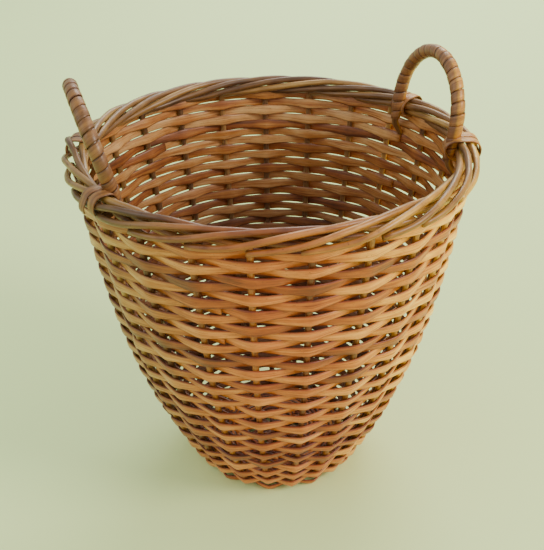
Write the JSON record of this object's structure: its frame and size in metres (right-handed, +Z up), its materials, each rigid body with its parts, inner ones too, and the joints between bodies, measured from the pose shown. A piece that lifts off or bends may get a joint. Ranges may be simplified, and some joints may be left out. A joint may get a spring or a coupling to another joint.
{
  "type": "laundry basket",
  "caption": "Round willow laundry basket with a flaring randed wall, a rolled border and two rigid cane-wrapped bow handles.",
  "frame": {"origin": "centre of the ground face, under the middle of the base", "axes": "+Z up through the mouth, +X towards the right handle, -Y towards the front"},
  "size_m": [0.3864, 0.3818, 0.4382],
  "materials": {
    "base_sticks": "peeled willow rod, matt, darkened with age",
    "base_weave": "woven peeled willow, matt, darkened with age",
    "upsett": "woven willow rod, varnished, worn at the ground",
    "stakes": "round peeled willow rod, honey-brown, satin varnish",
    "wall_weave": "split willow strips, honey to orange-brown, satin varnish",
    "handle_bows": "thick willow rod, brown, satin",
    "cane_wrap": "flat cane wrapping, tan, satin, worn",
    "cane_ties": "flat cane lashing, orange-tan, satin"
  },
  "bodies": {
    "root": {"through_stick_1": "base_sticks", "split_stick_1": "base_sticks", "through_stick_2": "base_sticks", "split_stick_2": "base_sticks", "through_stick_3": "base_sticks", "split_stick_3": "base_sticks", "base_weave": "base_weave", "outer_upsett": "upsett", "inner_upsett": "upsett", "stake_01": "stakes", "stake_02": "stakes", "stake_03": "stakes", "stake_04": "stakes", "stake_05": "stakes", "stake_06": "stakes", "stake_07": "stakes", "stake_08": "stakes", "stake_09": "stakes", "stake_10": "stakes", "stake_11": "stakes", "stake_12": "stakes", "stake_13": "stakes", "stake_14": "stakes", "stake_15": "stakes", "stake_16": "stakes", "stake_17": "stakes", "stake_18": "stakes", "stake_19": "stakes", "stake_20": "stakes", "stake_21": "stakes", "stake_22": "stakes", "stake_23": "stakes", "weave_band_1": "wall_weave", "weave_band_2": "wall_weave", "weave_band_3": "wall_weave", "weave_band_4": "wall_weave", "weave_band_5": "wall_weave", "weave_band_6": "wall_weave", "right_handle_bow": "handle_bows", "right_handle_wrap": "cane_wrap", "right_handle_ties": "cane_ties", "left_handle_bow": "handle_bows", "left_handle_wrap": "cane_wrap", "left_handle_ties": "cane_ties"}
  },
  "joints": []
}
